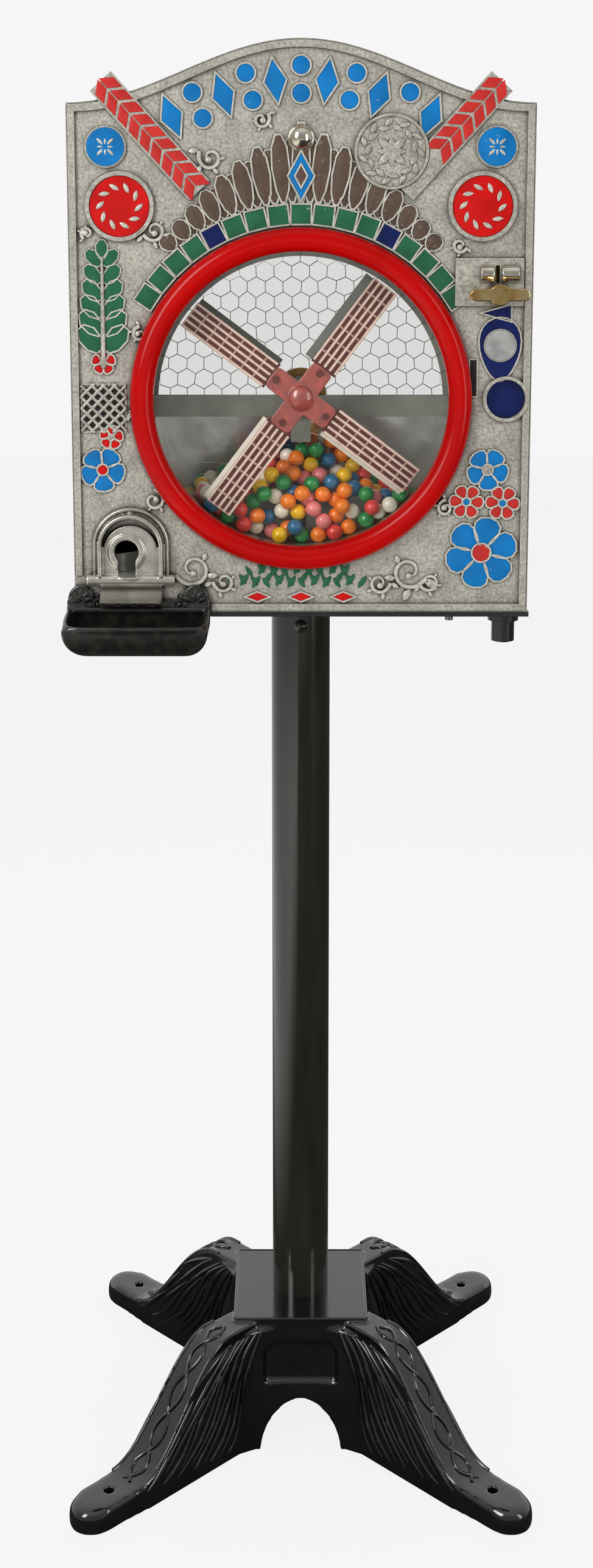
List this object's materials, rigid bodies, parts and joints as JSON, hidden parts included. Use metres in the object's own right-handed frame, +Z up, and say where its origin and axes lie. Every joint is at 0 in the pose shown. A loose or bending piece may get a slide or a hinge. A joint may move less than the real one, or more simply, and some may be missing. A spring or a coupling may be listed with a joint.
{
  "type": "gum ball vending machine",
  "caption": "Coin-operated gum ball vendor with a sail wheel turning behind a round red-rimmed window, a cast front, a wing knob, a delivery cup and a cast-iron pedestal stand.",
  "frame": {"origin": "on the floor under the pole's axis, at the centre of the four feet", "axes": "+Z up along the pole, the front with the window faces -Y, +X to the right from the front"},
  "size_m": [0.3746, 0.3746, 1.171],
  "materials": {
    "iron_black": "gloss black enamel on cast iron",
    "black_enamel": "black enamel",
    "pole_paint": "worn black paint",
    "cast_aluminium": "aged sand-cast aluminium with painted relief",
    "red_enamel": "gloss red enamel",
    "sail_paint": "worn brown-red paint on tinplate",
    "hub_paint": "worn brown-red paint",
    "bright_metal": "worn nickel plate",
    "polished_aluminium": "polished cast aluminium",
    "steel": "bare steel",
    "sheet_tin": "polished tinned sheet",
    "grey_steel": "dark grey paint",
    "brass": "aged brass",
    "glass": "clear",
    "seal": "matte",
    "belt": "round-edged flat belt",
    "gum": "mixed candy colours"
  },
  "bodies": {
    "machine": {"base_casting": "iron_black", "pole": "pole_paint", "top_flange": "iron_black", "tie_rod": "steel", "tie_rod_nuts": "steel", "pole_screw": "pole_paint", "flange_bolts": "steel", "bottom_plate": "black_enamel", "bottom_screws": "steel", "cabinet_shell": "black_enamel", "front_casting": "cast_aluminium", "round_plate": "cast_aluminium", "top_boss": "bright_metal", "window_ring": "red_enamel", "window_glass": "glass", "glass_gasket": "seal", "glass_clips": "steel", "coin_plate": "cast_aluminium", "coin_entry": "bright_metal", "delivery_spout": "polished_aluminium", "cup_tray": "black_enamel", "crossbar": "grey_steel", "rotor_bush": "brass", "hopper": "sheet_tin", "hopper_end": "sheet_tin", "hopper_glass": "glass", "gumballs": "gum", "wheel_housing": "sheet_tin", "spindle_bracket": "grey_steel", "delivery_chute": "sheet_tin", "coin_chute": "sheet_tin", "drive_bracket": "grey_steel", "drive_belt": "belt", "lock_body": "black_enamel", "hinge_leaves": "black_enamel", "hinge_pins": "steel"},
    "rotor": {"rotor_hub": "hub_paint", "sail_1": "sail_paint", "sail_2": "sail_paint", "sail_3": "sail_paint", "sail_4": "sail_paint", "hub_rivets": "hub_paint", "rotor_shaft": "steel", "rotor_peg_wheel": "brass"},
    "knob": {"wing_knob": "bright_metal", "knob_shaft": "steel", "coin_wheel": "brass", "knob_peg_wheel": "brass"},
    "drive": {"drive_shaft": "steel", "drive_peg_wheel": "brass", "drive_pulley": "brass"},
    "wheel": {"dispensing_wheel": "brass", "wheel_spindle": "steel", "spindle_peg_wheel": "brass", "spindle_pulley": "brass"},
    "door": {"rear_door": "black_enamel", "door_mesh": "steel", "door_knob": "black_enamel"},
    "drawer": {"cash_drawer": "steel"},
    "lock": {"lock_barrel": "bright_metal"}
  },
  "joints": [
    {"name": "knob_turn", "type": "hinge", "parent": "machine", "child": "knob", "pos_m": [0.149, -0.1, 0.982], "axis": [0, 1, 0], "continuous": true},
    {"name": "rotor_spin", "type": "hinge", "parent": "machine", "child": "rotor", "pos_m": [0, -0.05, 0.901], "axis": [0, 1, 0], "continuous": true},
    {"name": "drive_turn", "type": "hinge", "parent": "machine", "child": "drive", "pos_m": [0.149, -0.0455, 0.85], "axis": [0, 0, 1], "continuous": true},
    {"name": "wheel_turn", "type": "hinge", "parent": "machine", "child": "wheel", "pos_m": [0, 0, 0.8], "axis": [0, 0, 1], "continuous": true},
    {"name": "door_hinge", "type": "hinge", "parent": "machine", "child": "door", "pos_m": [-0.167, 0.093, 0.93], "axis": [0, 0, 1], "range_deg": [0, 110]},
    {"name": "drawer_slide", "type": "slide", "parent": "machine", "child": "drawer", "axis": [0, 1, 0], "range_m": [0, 0.07]},
    {"name": "lock_turn", "type": "hinge", "parent": "machine", "child": "lock", "pos_m": [0.16, -0.071, 0.73], "axis": [0, 0, 1], "range_deg": [0, 90]}
  ],
  "couplings": [
    {"joint": "rotor_spin", "follows": "knob_turn", "ratio": 1},
    {"joint": "drive_turn", "follows": "knob_turn", "ratio": -1},
    {"joint": "wheel_turn", "follows": "knob_turn", "ratio": -1}
  ]
}
